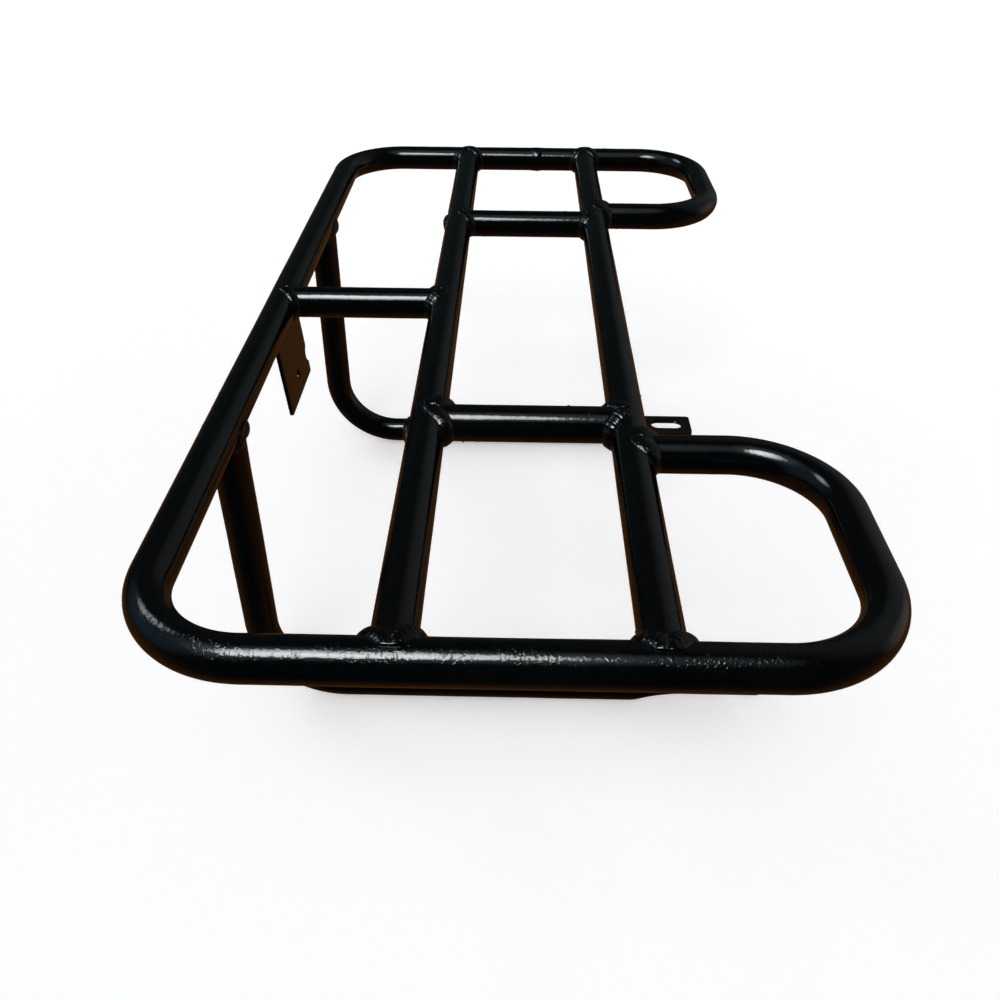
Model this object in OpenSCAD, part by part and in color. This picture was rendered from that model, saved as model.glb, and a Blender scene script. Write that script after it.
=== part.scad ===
// Tubular luggage rack: a bent-tube deck on two L-shaped legs, all joints welded.
// Millimetres, +Z up. X runs along the rack and Y across it: the ears point to +Y, the front,
// and the plate hangs at -Y, the back. The origin is on the floor, under the middle of the deck.

/* [Overall size] */
// Length over the two end rails
rack_length = 533; // [440:1:640]
// Width over the back rail and the ears
rack_width = 264; // [220:1:320]
// Height from the floor to the top of the deck
rack_height = 168; // [130:1:205]

/* [Tubing] */
// Outside diameter of every tube
tube_d = 16; // [12:0.5:20]
// Wall thickness of every tube
tube_wall = 1.5; // [1:0.1:2.5]
// Centre-line radius of every bend
bend_r = 39; // [24:0.5:48]

/* [Deck layout] */
// Back inner tube, distance from the middle of the deck
inner_back = 38; // [25:0.5:60]
// Front inner tube, distance from the middle of the deck
inner_front = 47; // [25:0.5:52]
// Spacing of the two crossbars between the inner tubes
crossbar_spacing = 240; // [160:1:300]
// How far the three short bars and the plate sit off the middle, toward -X
bar_shift = 3; // [-10:0.5:10]
// Width of each ear, between its two tube centre lines
ear_width = 119.5; // [100:0.5:150]

/* [Legs] */
// Spacing of the two legs
leg_spacing = 244; // [160:1:300]
// Length of the pressed-flat end of each leg
flat_length = 40; // [34:0.5:60]
// Length of the change from round to flat
flat_blend = 24; // [16:0.5:36]

/* [Slots] */
// Width of the slot in each flat end
slot_width = 11; // [6:0.5:13]
// Length of the slot over its round ends
slot_length = 22; // [14:0.5:30]
// Metal left between the slot and the end of the leg
slot_edge = 6; // [4:0.5:10]

/* [Plate] */
// Width of the hanging plate
plate_width = 52; // [40:0.5:70]
// Depth of the plate below the centre line of the back rail
plate_drop = 55; // [40:0.5:80]
// Thickness of the plate
plate_t = 2; // [1.5:0.1:4]
// How far the plate leans in toward the legs, in degrees
plate_lean = 5; // [0:0.5:10]
// Diameter of the hole in the plate
plate_hole_d = 5.5; // [3:0.1:9]
// Height of the hole above the lower edge of the plate
plate_hole_up = 11.5; // [8:0.5:20]
// Radius of the notch in the left edge of the plate
notch_r = 4.5; // [2:0.5:7]

/* [Welds] */
// Thickness of the beads around the tube joints
bead = 2.6; // [1.5:0.1:4]
// Height of those beads above the top and the underside of the deck tubes
bead_crown = 1.2; // [0.5:0.1:2]
// Thickness of the larger beads where the ears meet the front inner tube
bead_ear = 3.6; // [2:0.1:5]
// Height of the ring where the rail's tube is joined end to end, on the left end rail
joint_proud = 0.6; // [0.3:0.1:1.2]
// Width of that ring
joint_width = 8; // [5:0.5:12]
// Distance of that ring from the middle of the deck, toward the front
joint_y = 12; // [0:0.5:20]

/* [Hidden] */
$fn = 96;
r = tube_d / 2;
ri = r - tube_wall;
a = rack_length / 2 - r;
b = rack_width / 2 - r;
deck_z = rack_height - r;
xl = -inner_back;
xr = inner_front;
ya = bar_shift - crossbar_spacing / 2;
yb = bar_shift + crossbar_spacing / 2;
ye = a - ear_width;
yleg = leg_spacing / 2;
flat_t = 2 * tube_wall;
// The pressed tube keeps its girth, so its flat width follows from the wall's middle line
flat_w = PI * (tube_d - tube_wall) / 2 - PI * tube_wall / 2 + 2 * tube_wall;
flat_x = b - flat_length;
blend_x = flat_x - flat_blend;
slot_x = b - slot_edge - slot_length / 2;
slot_run = slot_length - slot_width;
lap = 2.5;
plate_top = 1.2;
plate_out = 2;
flank_y = crossbar_spacing / 2 + 4;
flank_r = r * 1.28;
joint_round = (joint_width * joint_width / 4 + joint_proud * joint_proud) / (2 * joint_proud);

// One node's name, or "all"

// The rack is laid out below with its length along v and its width along u, then turned a quarter
// so that u becomes +Y and v becomes -X. Every node goes through here.
module placed() {
    color("black")
        rotate([0, 0, 90])
            children();
}

// A solid bar along Z, used for the outside of a tube
module bar(len, rad) {
    cylinder(h = len, r = rad);
}

// A straight tube along Z
module tube(len) {
    difference() {
        cylinder(h = len, r = r);
        translate([0, 0, -1])
            cylinder(h = len + 2, r = ri);
    }
}

// A straight tube across the rack, from u = x0 to u = x1
module tube_x(x0, x1, y, z) {
    translate([x0, y, z])
        rotate([0, 90, 0])
            tube(x1 - x0);
}

// A straight tube along the rack, from v = y0 to v = y1
module tube_y(y0, y1, x, z) {
    translate([x, y0, z])
        rotate([-90, 0, 0])
            tube(y1 - y0);
}

// The outside of a tube that lies along v, used to cope the ends that meet it
module cut_y(x, y, z, rad = r) {
    translate([x, y - 60, z])
        rotate([-90, 0, 0])
            bar(120, rad);
}

// The outside of a tube that lies along u
module cut_x(x, y, z, rad = r) {
    translate([x - 60, y, z])
        rotate([0, 90, 0])
            bar(120, rad);
}

// A quarter bend in the deck plane, about (cx, cy), from angle ang to ang + 90
module bend_xy(cx, cy, ang) {
    translate([cx, cy, deck_z])
        rotate([0, 0, ang])
            rotate_extrude(angle = 90)
                translate([bend_r, 0])
                    difference() {
                        circle(r = r);
                        circle(r = ri);
                    }
}

// Weld around a joint of two equal tubes: the main tube lies along v through the origin and the
// branch leaves along +u. The weld fills the band close to both surfaces.
module saddle_bead(w, back = lap) {
    difference() {
        intersection() {
            translate([0, -30, 0])
                rotate([-90, 0, 0])
                    bar(60, r + w);
            translate([-30, 0, 0])
                rotate([0, 90, 0])
                    bar(60, r + w);
            translate([-back, -30, -r - bead_crown])
                cube([60, 60, 2 * (r + bead_crown)]);
        }
        translate([0, -40, 0])
            rotate([-90, 0, 0])
                bar(80, r);
        rotate([0, 90, 0])
            bar(60, r);
    }
}

// A saddle bead at a deck joint, the branch leaving the main tube at angle ang
module deck_bead(x, y, ang, w = bead, back = lap) {
    translate([x, y, deck_z])
        rotate([0, 0, ang])
            saddle_bead(w, back);
}

module outer_rail() {
    placed()
        difference() {
            union() {
                tube_x(xr, b - bend_r, -ye, deck_z);
                bend_xy(b - bend_r, -ye - bend_r, 0);
                tube_y(-a + bend_r, -ye - bend_r, b, deck_z);
                bend_xy(b - bend_r, -a + bend_r, 270);
                tube_x(-b + bend_r, b - bend_r, -a, deck_z);
                bend_xy(-b + bend_r, -a + bend_r, 180);
                tube_y(-a + bend_r, a - bend_r, -b, deck_z);
                bend_xy(-b + bend_r, a - bend_r, 90);
                tube_x(-b + bend_r, b - bend_r, a, deck_z);
                bend_xy(b - bend_r, a - bend_r, 0);
                tube_y(ye + bend_r, a - bend_r, b, deck_z);
                bend_xy(b - bend_r, ye + bend_r, 270);
                tube_x(xr, b - bend_r, ye, deck_z);
            }
            cut_y(xr, -ye, deck_z);
            cut_y(xr, ye, deck_z);
        }
}

// An inner tube of the deck, coped onto both end rails
module inner_tube(x) {
    difference() {
        tube_y(-a, a, x, deck_z);
        cut_x(x, -a, deck_z);
        cut_x(x, a, deck_z);
    }
}

module inner_tube_back() {
    placed()
        inner_tube(xl);
}

module inner_tube_front() {
    placed()
        inner_tube(xr);
}

// A short bar of the deck, coped onto the two tubes it joins
module crossbar(x0, x1, y) {
    difference() {
        tube_x(x0, x1, y, deck_z);
        cut_y(x0, y, deck_z);
        cut_y(x1, y, deck_z);
    }
}

module crossbar_right() {
    placed()
        crossbar(xl, xr, ya);
}

module crossbar_left() {
    placed()
        crossbar(xl, xr, yb);
}

module crossbar_mid() {
    placed()
        crossbar(-b, xl, bar_shift);
}

// Cross-section slices of the change from round tube to pressed-flat end
module round_slice(x, rad) {
    translate([x, 0, r])
        rotate([0, 90, 0])
            cylinder(h = 0.02, r = rad, $fn = 48);
}

module flat_slice(x, w, t, z) {
    translate([x, -w / 2, z])
        cube([0.02, w, t]);
}

// A leg at v = 0: down from the back rail, round the bend, along the floor, pressed flat at its end
module leg() {
    difference() {
        union() {
            translate([-b, 0, r + bend_r])
                tube(deck_z - r - bend_r);
            translate([-b + bend_r, 0, r + bend_r])
                rotate([90, 0, 0])
                    rotate([0, 0, 180])
                        rotate_extrude(angle = 90)
                            translate([bend_r, 0])
                                difference() {
                                    circle(r = r);
                                    circle(r = ri);
                                }
            tube_x(-b + bend_r, blend_x, 0, r);
            difference() {
                hull() {
                    round_slice(blend_x, r);
                    flat_slice(flat_x, flat_w, flat_t, tube_d - flat_t);
                }
                hull() {
                    round_slice(blend_x - 0.01, ri);
                    flat_slice(flat_x - 0.02, flat_w - 2 * flat_t, 0.1, tube_d - flat_t / 2);
                }
            }
            translate([flat_x, -flat_w / 2, tube_d - flat_t])
                cube([flat_length, flat_w, flat_t]);
        }
        cut_y(-b, 0, deck_z);
        translate([slot_x - slot_run / 2, 0, 0])
            cylinder(h = 40, r = slot_width / 2);
        translate([slot_x + slot_run / 2, 0, 0])
            cylinder(h = 40, r = slot_width / 2);
        translate([slot_x - slot_run / 2, -slot_width / 2, 0])
            cube([slot_run, slot_width, 40]);
    }
}

module leg_right() {
    placed()
        translate([0, -yleg, 0])
            leg();
}

module leg_left() {
    placed()
        translate([0, yleg, 0])
            leg();
}

// Frame of the hanging plate: u is across its thickness and Z up along it, origin on the rail
module plate_frame() {
    translate([-b - plate_out, bar_shift, deck_z])
        rotate([0, -plate_lean, 0])
            children();
}

// The plate before it is fitted under the rail
module plate_blank() {
    plate_frame()
        difference() {
            translate([-plate_t / 2, -plate_width / 2, -plate_drop])
                cube([plate_t, plate_width, plate_drop - plate_top]);
            translate([-5, 0, -plate_drop + plate_hole_up])
                rotate([0, 90, 0])
                    cylinder(h = 10, r = plate_hole_d / 2);
            translate([-5, plate_width / 2 + notch_r * 0.2, -plate_drop + plate_hole_up])
                rotate([0, 90, 0])
                    cylinder(h = 10, r = notch_r);
        }
}

module centre_plate() {
    placed()
        difference() {
            plate_blank();
            cut_y(-b, bar_shift, deck_z);
        }
}

module bead_back_right() {
    placed()
        deck_bead(xl, -a, 90);
}

module bead_back_left() {
    placed()
        deck_bead(xl, a, 270);
}

module bead_front_right() {
    placed()
        deck_bead(xr, -a, 90);
}

module bead_front_left() {
    placed()
        deck_bead(xr, a, 270);
}

module bead_cross_right_b() {
    placed()
        deck_bead(xl, ya, 0, bead * 1.2);
}

module bead_cross_right_f() {
    placed()
        deck_bead(xr, ya, 180);
}

module bead_cross_left_b() {
    placed()
        deck_bead(xl, yb, 0);
}

module bead_cross_left_f() {
    placed()
        deck_bead(xr, yb, 180, bead * 1.2);
}

// Stops short of the plate that hangs below this joint
module bead_mid_b() {
    placed()
        deck_bead(-b, bar_shift, 0, bead, -plate_t);
}

module bead_mid_f() {
    placed()
        deck_bead(xl, bar_shift, 180);
}

module bead_ear_right() {
    placed()
        deck_bead(xr, -ye, 0, bead_ear);
}

module bead_ear_left() {
    placed()
        deck_bead(xr, ye, 0, bead_ear);
}

// The bead round the top of a leg, under the back rail. It stops at the rail's outer side.
module leg_bead(y) {
    intersection() {
        translate([-b, y, deck_z])
            rotate([0, 90, 0])
                saddle_bead(bead);
        translate([-b - r + 1, y - 40, deck_z - 3 * r])
            cube([4 * r, 80, 3 * r + lap]);
    }
}

module bead_leg_right() {
    placed()
        leg_bead(-yleg);
}

module bead_leg_left() {
    placed()
        leg_bead(yleg);
}

// Weld on the back flank of the back inner tube, opposite a crossbar: a crescent low on the side
module flank_bead(y) {
    translate([xl, y, deck_z])
        difference() {
            intersection() {
                translate([0, 0, -r])
                    cylinder(h = 2 * r, r = flank_r);
                translate([0, -30, 0])
                    rotate([-90, 0, 0])
                        bar(60, r + bead);
                translate([-2 * r, -30, -r])
                    cube([2 * r - lap - 0.5, 60, r + 1]);
            }
            translate([0, -40, 0])
                rotate([-90, 0, 0])
                    bar(80, r);
        }
}

module bead_flank_right() {
    placed()
        flank_bead(bar_shift - flank_y);
}

module bead_flank_left() {
    placed()
        flank_bead(bar_shift + flank_y);
}

// A fillet weld along the top of the plate, from y0 to y1, on the side of the plate given by side
module plate_bead(y0, y1, side) {
    difference() {
        translate([-b - plate_out + side * (plate_t / 2 + 0.9) + 0.8, y0, deck_z - r - 0.8])
            rotate([-90, 0, 0])
                bar(y1 - y0, 2.2);
        plate_frame()
            translate([-plate_t / 2 - (side > 0 ? 6 : 0), -plate_width, -20])
                cube([plate_t + 6, 2 * plate_width, 20]);
        cut_y(-b, bar_shift, deck_z);
    }
}

module bead_plate_out() {
    placed()
        plate_bead(bar_shift - plate_width / 2 + 1, bar_shift + plate_width / 2 - 1, -1);
}

module bead_plate_right() {
    placed()
        plate_bead(bar_shift - plate_width / 2 + 1, bar_shift - r - bead - 1, 1);
}

module bead_plate_left() {
    placed()
        plate_bead(bar_shift + r + bead + 1, bar_shift + plate_width / 2 - 1, 1);
}

// Butt weld round the rail: a low crowned ring, ground away on the rail's outer side
module bead_rail_joint() {
    placed()
        intersection() {
            translate([joint_y, a, deck_z])
                rotate([0, 90, 0])
                    rotate_extrude()
                        intersection() {
                            translate([r + joint_proud - joint_round, 0])
                                circle(r = joint_round);
                            translate([r, -joint_width])
                                square([2 * joint_proud, 2 * joint_width]);
                        }
            translate([joint_y - joint_width, a - 2 * r, deck_z - 2 * r])
                cube([2 * joint_width, 2 * r + r * 0.6, 4 * r]);
        }
}

outer_rail();
inner_tube_back();
inner_tube_front();
crossbar_right();
crossbar_left();
crossbar_mid();
leg_right();
leg_left();
centre_plate();
bead_back_right();
bead_back_left();
bead_front_right();
bead_front_left();
bead_cross_right_b();
bead_cross_right_f();
bead_cross_left_b();
bead_cross_left_f();
bead_mid_b();
bead_mid_f();
bead_ear_right();
bead_ear_left();
bead_leg_right();
bead_leg_left();
bead_flank_right();
bead_flank_left();
bead_plate_out();
bead_plate_right();
bead_plate_left();
bead_rail_joint();
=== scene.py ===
"""Looks for a welded luggage rack of bent steel tube, powder coated gloss black.

Every tube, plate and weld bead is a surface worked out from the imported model's boxes, so each
piece lies exactly where its solid does. Lengths are in metres, +Z up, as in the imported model."""

import math

import bpy
import numpy as np
from bpy.props import FloatProperty, FloatVectorProperty, IntProperty, PointerProperty
from mathutils import Matrix, Vector


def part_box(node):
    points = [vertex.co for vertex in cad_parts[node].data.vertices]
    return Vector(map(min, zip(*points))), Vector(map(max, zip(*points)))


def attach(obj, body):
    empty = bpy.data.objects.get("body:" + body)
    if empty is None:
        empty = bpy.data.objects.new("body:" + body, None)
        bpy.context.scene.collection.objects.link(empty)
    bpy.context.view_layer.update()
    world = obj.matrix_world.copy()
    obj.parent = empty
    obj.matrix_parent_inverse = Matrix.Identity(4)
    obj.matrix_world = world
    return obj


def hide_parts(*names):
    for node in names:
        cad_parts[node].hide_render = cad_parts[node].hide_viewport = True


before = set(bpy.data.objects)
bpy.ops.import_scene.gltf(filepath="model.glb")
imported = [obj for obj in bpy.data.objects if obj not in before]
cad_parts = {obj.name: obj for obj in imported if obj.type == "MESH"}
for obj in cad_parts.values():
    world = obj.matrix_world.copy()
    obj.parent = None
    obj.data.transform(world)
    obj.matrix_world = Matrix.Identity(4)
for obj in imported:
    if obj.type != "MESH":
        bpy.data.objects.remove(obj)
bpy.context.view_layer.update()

bl_info = {
    "name": "Luggage Rack",
    "version": (1, 0, 0),
    "blender": (4, 5, 0),
    "location": "View3D > Sidebar > Rack",
    "description": "Builds the coated tubes, plate and weld beads of a luggage rack",
    "category": "Add Mesh",
}

MM = 0.001
UP = np.array([0.0, 0.0, 1.0])
ALONG = np.array([1.0, 0.0, 0.0])
ACROSS = np.array([0.0, 1.0, 0.0])

# Fineness of the surfaces, in points round a tube, and points along and round a joint's bead
TUBE_SIDES = 72
BEAD_STEPS = 288
BEAD_SIDES = 40
# How far a tube's shape is drawn back behind its coped end, in tube radii
COPE_REACH = 2.6
# A tube strays from a true circle in waves this long, and that many times shorter round it
STRAY_WAVE = 26 * MM
STRAY_ROUND = 2.4
# Share of its width that a tube loses in the middle of a bend
BEND_SQUEEZE = 0.022
# Height of the ripples on a joint's bead, and how far they bow back at its edges, in ripples
RIPPLE_HEIGHT = 0.15 * MM
RIPPLE_BOW = 0.42
# First seed of each group's random draws
SEEDS = {"rail": 11, "straight": 21, "legs": 41, "joints": 100, "leg_beads": 120,
         "plate_beads": 140, "flank_beads": 150, "rail_joint": 160}
# Edges sharper than these angles, in degrees, stay sharp
SHARP_TUBE, SHARP_LEG, SHARP_PLATE, SHARP_BEAD = 50, 40, 35, 60


def linear(hex_colour):
    """An sRGB hex colour as linear red, green and blue with an alpha of 1."""
    parts = [int(hex_colour[i:i + 2], 16) / 255 for i in (1, 3, 5)]
    curve = [c / 12.92 if c <= 0.04045 else ((c + 0.055) / 1.055) ** 2.4 for c in parts]
    return (*curve, 1.0)


# ---- sizes taken from the model

def box_of(node):
    """Lowest corner, highest corner and middle of a CAD node, as arrays."""
    low, high = (np.array(corner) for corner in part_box(node))
    return low, high, (low + high) / 2


RAIL_LOW, RAIL_HIGH, _ = box_of("outer_rail")
TUBE_R = float(RAIL_HIGH[2] - RAIL_LOW[2]) / 2
DECK_Z = float(RAIL_HIGH[2] + RAIL_LOW[2]) / 2
END_X = float(RAIL_HIGH[0]) - TUBE_R
SIDE_Y = float(RAIL_HIGH[1]) - TUBE_R
BACK_Y = float(box_of("inner_tube_back")[2][1])
FRONT_Y = float(box_of("inner_tube_front")[2][1])
EAR_X = float(box_of("bead_ear_right")[2][0])
BAR_X = {name: float(box_of(name)[2][0])
         for name in ("crossbar_right", "crossbar_left", "crossbar_mid")}
LEG_X = {name: float(box_of(name)[2][0]) for name in ("leg_right", "leg_left")}
TAB_WIDTH = float(box_of("leg_right")[1][0] - box_of("leg_right")[0][0])


# ---- settings

def length_setting(name, description, default):
    """A length that a user can change, with its name, description and default in metres."""
    return FloatProperty(name=name, description=description, default=default, unit="LENGTH")


class RackTubeSettings(bpy.types.PropertyGroup):
    """Sizes and finish of the bent tubes."""
    bend_radius: length_setting("Bend radius", "Centre-line radius of every bend", 39 * MM)
    wall: length_setting("Wall", "Wall thickness of the tube", 1.5 * MM)
    tab_length: length_setting("Flat end", "Length of the pressed-flat end of a leg", 40 * MM)
    tab_blend: length_setting("Blend", "Length of the change from round to flat", 24 * MM)
    slot_width: length_setting("Slot width", "Width of the slot in a flat end", 11 * MM)
    slot_length: length_setting("Slot length", "Length of the slot over its round ends", 22 * MM)
    slot_edge: length_setting("Slot edge", "Metal between the slot and the end of the leg", 6 * MM)
    wander: length_setting(
        "Wander", "How far a drawn and bent tube strays from a true circle", 0.035 * MM)


class RackPlateSettings(bpy.types.PropertyGroup):
    """Sizes of the hanging plate."""
    width: length_setting("Width", "Width of the plate", 52 * MM)
    drop: length_setting("Drop", "Depth of the plate below the rail's centre line", 55 * MM)
    thickness: length_setting("Thickness", "Thickness of the plate", 2 * MM)
    lean: FloatProperty(
        name="Lean", description="How far the plate leans in at its foot",
        default=math.radians(5), unit="ROTATION")
    hole: length_setting("Hole", "Diameter of the hole", 5.5 * MM)
    hole_up: length_setting("Hole height", "Height of the hole above the lower edge", 11.5 * MM)
    notch: length_setting("Notch", "Radius of the notch in the left edge", 4.5 * MM)
    outset: length_setting(
        "Outset", "How far outside the rail's centre line the plate hangs", 2 * MM)


class RackWeldSettings(bpy.types.PropertyGroup):
    """Sizes of the weld beads."""
    half_width: length_setting("Half width", "Half the width of a bead at a tube joint", 4.4 * MM)
    throat: length_setting("Throat", "Height of a bead in the corner between two tubes", 3.3 * MM)
    crown: length_setting(
        "Crown", "Height of a bead where it crosses the top of the tubes", 1.05 * MM)
    ripple: length_setting("Ripple", "Spacing of the ripples the welder leaves", 1.9 * MM)
    spatter: IntProperty(
        name="Spatter", description="Drops of spatter round each tube joint", default=7)
    ear_factor: FloatProperty(
        name="Ear beads", description="Size of the beads at the ears beside the others",
        default=1.26)


class RackCoatSettings(bpy.types.PropertyGroup):
    """Colour and gloss of the powder coat."""
    colour: FloatVectorProperty(
        name="Colour", description="Colour of the coat", subtype="COLOR", size=4,
        default=linear("#030405"), min=0, max=1)
    worn: FloatVectorProperty(
        name="Dust", description="Colour where a little dust lies on the coat",
        subtype="COLOR", size=4, default=linear("#050607"), min=0, max=1)
    gloss: FloatProperty(
        name="Roughness", description="Roughness of the coat on plain tube",
        default=0.085, min=0, max=1)
    peel: length_setting(
        "Orange peel", "Spacing of the dimples in the coat on plain tube", 2.6 * MM)
    grit: length_setting("Grit", "Spacing of the specks under the coat", 1.2 * MM)


class RackStageSettings(bpy.types.PropertyGroup):
    """Floor and lights."""
    floor: FloatVectorProperty(
        name="Floor", description="Colour of the floor", subtype="COLOR", size=4,
        default=linear("#F4F4F4"), min=0, max=1)
    daylight: FloatProperty(
        name="Daylight", description="Strength of the soft light on the floor", default=0.5)
    glow: FloatProperty(
        name="Floor glow", description="Share of the floor's brightness that no shadow dims",
        default=0.353, min=0, max=1)
    window: FloatProperty(
        name="Window", description="Brightness of the window seen in the gloss", default=64.0)
    room: FloatProperty(
        name="Room", description="Brightness of the room seen in the gloss", default=1.0)


# ---- arrays to meshes

def grid_quads(rows, columns, wrap_rows=False):
    """Quads of a grid of points whose rows are closed rings: each joins a point, the next in
    its row, and the two in the next row. Wrapped rows join the last row to the first."""
    i = np.arange(rows if wrap_rows else rows - 1)[:, None]
    j = np.arange(columns)[None, :]
    i2, j2 = (i + 1) % rows, (j + 1) % columns
    quads = [i * columns + j, i * columns + j2, i2 * columns + j2, i2 * columns + j]
    return np.stack(quads, -1).reshape(-1, 4)


def closed_tube(grid):
    """A shell from rings of points, with a fan of triangles to the middle of each end ring."""
    rows, columns, _ = grid.shape
    points = np.concatenate([grid.reshape(-1, 3), [grid[0].mean(0)], [grid[-1].mean(0)]])
    j = np.arange(columns)
    j2 = (j + 1) % columns
    first = np.stack([j2, j, np.full(columns, rows * columns)], -1)
    last = np.stack([j, j2, np.full(columns, rows * columns + 1)], -1)
    last[:, :2] += (rows - 1) * columns
    return points, grid_quads(rows, columns), np.concatenate([first, last])


def closed_ring(grid):
    """A shell from rings of points that also close on each other, as a doughnut does."""
    rows, columns, _ = grid.shape
    return grid.reshape(-1, 3), grid_quads(rows, columns, True), np.zeros((0, 3), int)


def outward(shell):
    """The shell with its faces turned outwards: the sum of the signed tetrahedra from its
    middle to each face is a closed shell's volume, and is negative when it is inside out."""
    points, quads, tris = shell
    fans = np.concatenate([tris, quads[:, [0, 1, 2]], quads[:, [0, 2, 3]]])
    a, b, c = (points[fans[:, k]] - points.mean(0) for k in range(3))
    if np.einsum("ij,ij->i", a, np.cross(b, c)).sum() < 0:
        return points, quads[:, ::-1], tris[:, ::-1]
    return shell


def build_mesh(name, shells, sharp):
    """One mesh from several shells, smooth but for edges sharper than the angle in degrees."""
    points, quads, tris, count = [], [], [], 0
    for shell in map(outward, shells):
        points.append(shell[0])
        quads.append(shell[1] + count)
        tris.append(shell[2] + count)
        count += len(shell[0])
    points, quads, tris = (np.concatenate(part) for part in (points, quads, tris))
    corners = np.concatenate([quads.ravel(), tris.ravel()]).astype(np.int32)
    starts = np.concatenate([
        np.arange(len(quads)) * 4, len(quads) * 4 + np.arange(len(tris)) * 3])
    mesh = bpy.data.meshes.new(name)
    mesh.vertices.add(len(points))
    mesh.vertices.foreach_set("co", points.astype(np.float32).ravel())
    mesh.loops.add(len(corners))
    mesh.loops.foreach_set("vertex_index", corners)
    mesh.polygons.add(len(starts))
    mesh.polygons.foreach_set("loop_start", starts.astype(np.int32))
    mesh.update(calc_edges=True)
    if mesh.validate():
        raise RuntimeError(f"{name}: the mesh had to be repaired")
    mesh.shade_smooth()
    mesh.set_sharp_from_angle(angle=math.radians(sharp))
    return mesh


def place_piece(name, shells, slot, *nodes, sharp=SHARP_TUBE):
    """Makes the piece in its slot's coat, hides the CAD nodes it stands for, and lets it ride
    on the rack."""
    piece = bpy.data.objects.new(name, build_mesh(name, shells, sharp))
    bpy.context.scene.collection.objects.link(piece)
    piece.data.materials.append(coat_on(slot))
    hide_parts(*nodes)
    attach(piece, "root")


# ---- curves and surfaces

def unit(vectors):
    """Vectors scaled to a length of one."""
    return vectors / np.linalg.norm(vectors, axis=-1, keepdims=True)


def ripple_noise(seed, *coordinates, waves=9, finest=1.0):
    """Smooth noise, mostly from -1 to 1: a sum of equal sines of the coordinates, each with
    its own wavelength, direction and phase. The seed picks the last two."""
    rng = np.random.default_rng(seed)
    total = 0.0
    for k in range(waves):
        pitch = finest * (1 + 2.2 * k / waves)
        weights = rng.normal(size=len(coordinates))
        weights *= 2 * math.pi / pitch / np.linalg.norm(weights)
        phase = rng.uniform(0, 2 * math.pi)
        total = total + np.sin(sum(w * c for w, c in zip(weights, coordinates)) + phase)
    return total / math.sqrt(waves)


def bent_path(corners, radius, step):
    """Points, directions and nearness to a bend along a line of straight runs. Each corner is
    an arc that touches both runs: its middle is one radius in from the arc's start, and a
    point goes round it from the first direction to the second."""
    corners = np.asarray(corners, float)
    heads = unit(np.diff(corners, axis=0))
    points, ways, bends = [], [], []
    here = corners[0]
    for k in range(len(heads)):
        turn = 0.0
        stop = corners[k + 1]
        if k + 1 < len(heads):
            turn = math.acos(float(np.clip(heads[k] @ heads[k + 1], -1, 1)))
            stop = stop - heads[k] * radius * math.tan(turn / 2)
        count = max(2, int(np.linalg.norm(stop - here) / step))
        t = np.linspace(0, 1, count, endpoint=False)[:, None]
        points.append(here + (stop - here) * t)
        ways.append(np.repeat(heads[k][None], count, 0))
        bends.append(np.zeros(count))
        here = stop
        if turn:
            inward = unit(heads[k + 1] - heads[k] * (heads[k] @ heads[k + 1]))
            middle = stop + inward * radius
            count = max(8, int(turn * radius / step * 1.6))
            angle = np.linspace(0, turn, count, endpoint=False)[:, None]
            points.append(middle + radius * (heads[k] * np.sin(angle) - inward * np.cos(angle)))
            ways.append(heads[k] * np.cos(angle) + inward * np.sin(angle))
            bends.append(np.sin(angle[:, 0] / turn * math.pi) ** 0.5)
            here = middle + radius * (heads[k] * math.sin(turn) - inward * math.cos(turn))
    points.append(corners[-1][None])
    ways.append(heads[-1][None])
    bends.append(np.zeros(1))
    return np.concatenate(points), unit(np.concatenate(ways)), np.concatenate(bends)


def path_length(points):
    """Distance along a line of points, from its first."""
    return np.concatenate([[0.0], np.cumsum(np.linalg.norm(np.diff(points, axis=0), axis=1))])


def round_tube(points, ways, lift, seed, wander, bends=None):
    """Rings of a round tube along a path: radius times the cosine of the angle to the side,
    plus radius times its sine along lift. The radius strays a little along and round the
    tube, and a bend flattens it slightly."""
    angle = np.linspace(0, 2 * math.pi, TUBE_SIDES, endpoint=False)[None, :]
    run = path_length(points)[:, None]
    girth = TUBE_R * np.stack([np.cos(angle), np.sin(angle)], 0)
    stray = ripple_noise(seed, run + 0 * angle, STRAY_ROUND * girth[0], STRAY_ROUND * girth[1],
                         finest=STRAY_WAVE)
    # the mean lies inside the true circle, so that even the highest waves stay close to it
    radius = TUBE_R + wander * (stray - 1.2)
    side = np.cross(ways, lift)[:, None, :]
    squeeze = 1.0 if bends is None else 1 - BEND_SQUEEZE * bends[:, None]
    out = (radius * np.cos(angle) * squeeze)[..., None] * side
    return points[:, None, :] + out + (radius * np.sin(angle))[..., None] * lift


def cope_ends(grid, points, ways, lift):
    """Shapes a tube's ends to sit on tubes of its own size that run level across them: a
    point of an end ring moves back along the tube by the root of the radius squared less its
    own height squared. The rings behind move less and less."""
    run = path_length(points)
    reach = COPE_REACH * TUBE_R
    rise = ((grid - points[:, None, :]) @ lift).clip(-TUBE_R, TUBE_R)
    back = np.sqrt(np.maximum(TUBE_R ** 2 - rise ** 2, 0))[..., None]
    near_first = (1 - run / reach).clip(0, 1)[:, None, None]
    near_last = (1 - (run[-1] - run) / reach).clip(0, 1)[:, None, None]
    return grid + near_first * back * ways[0] - near_last * back * ways[-1]


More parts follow.
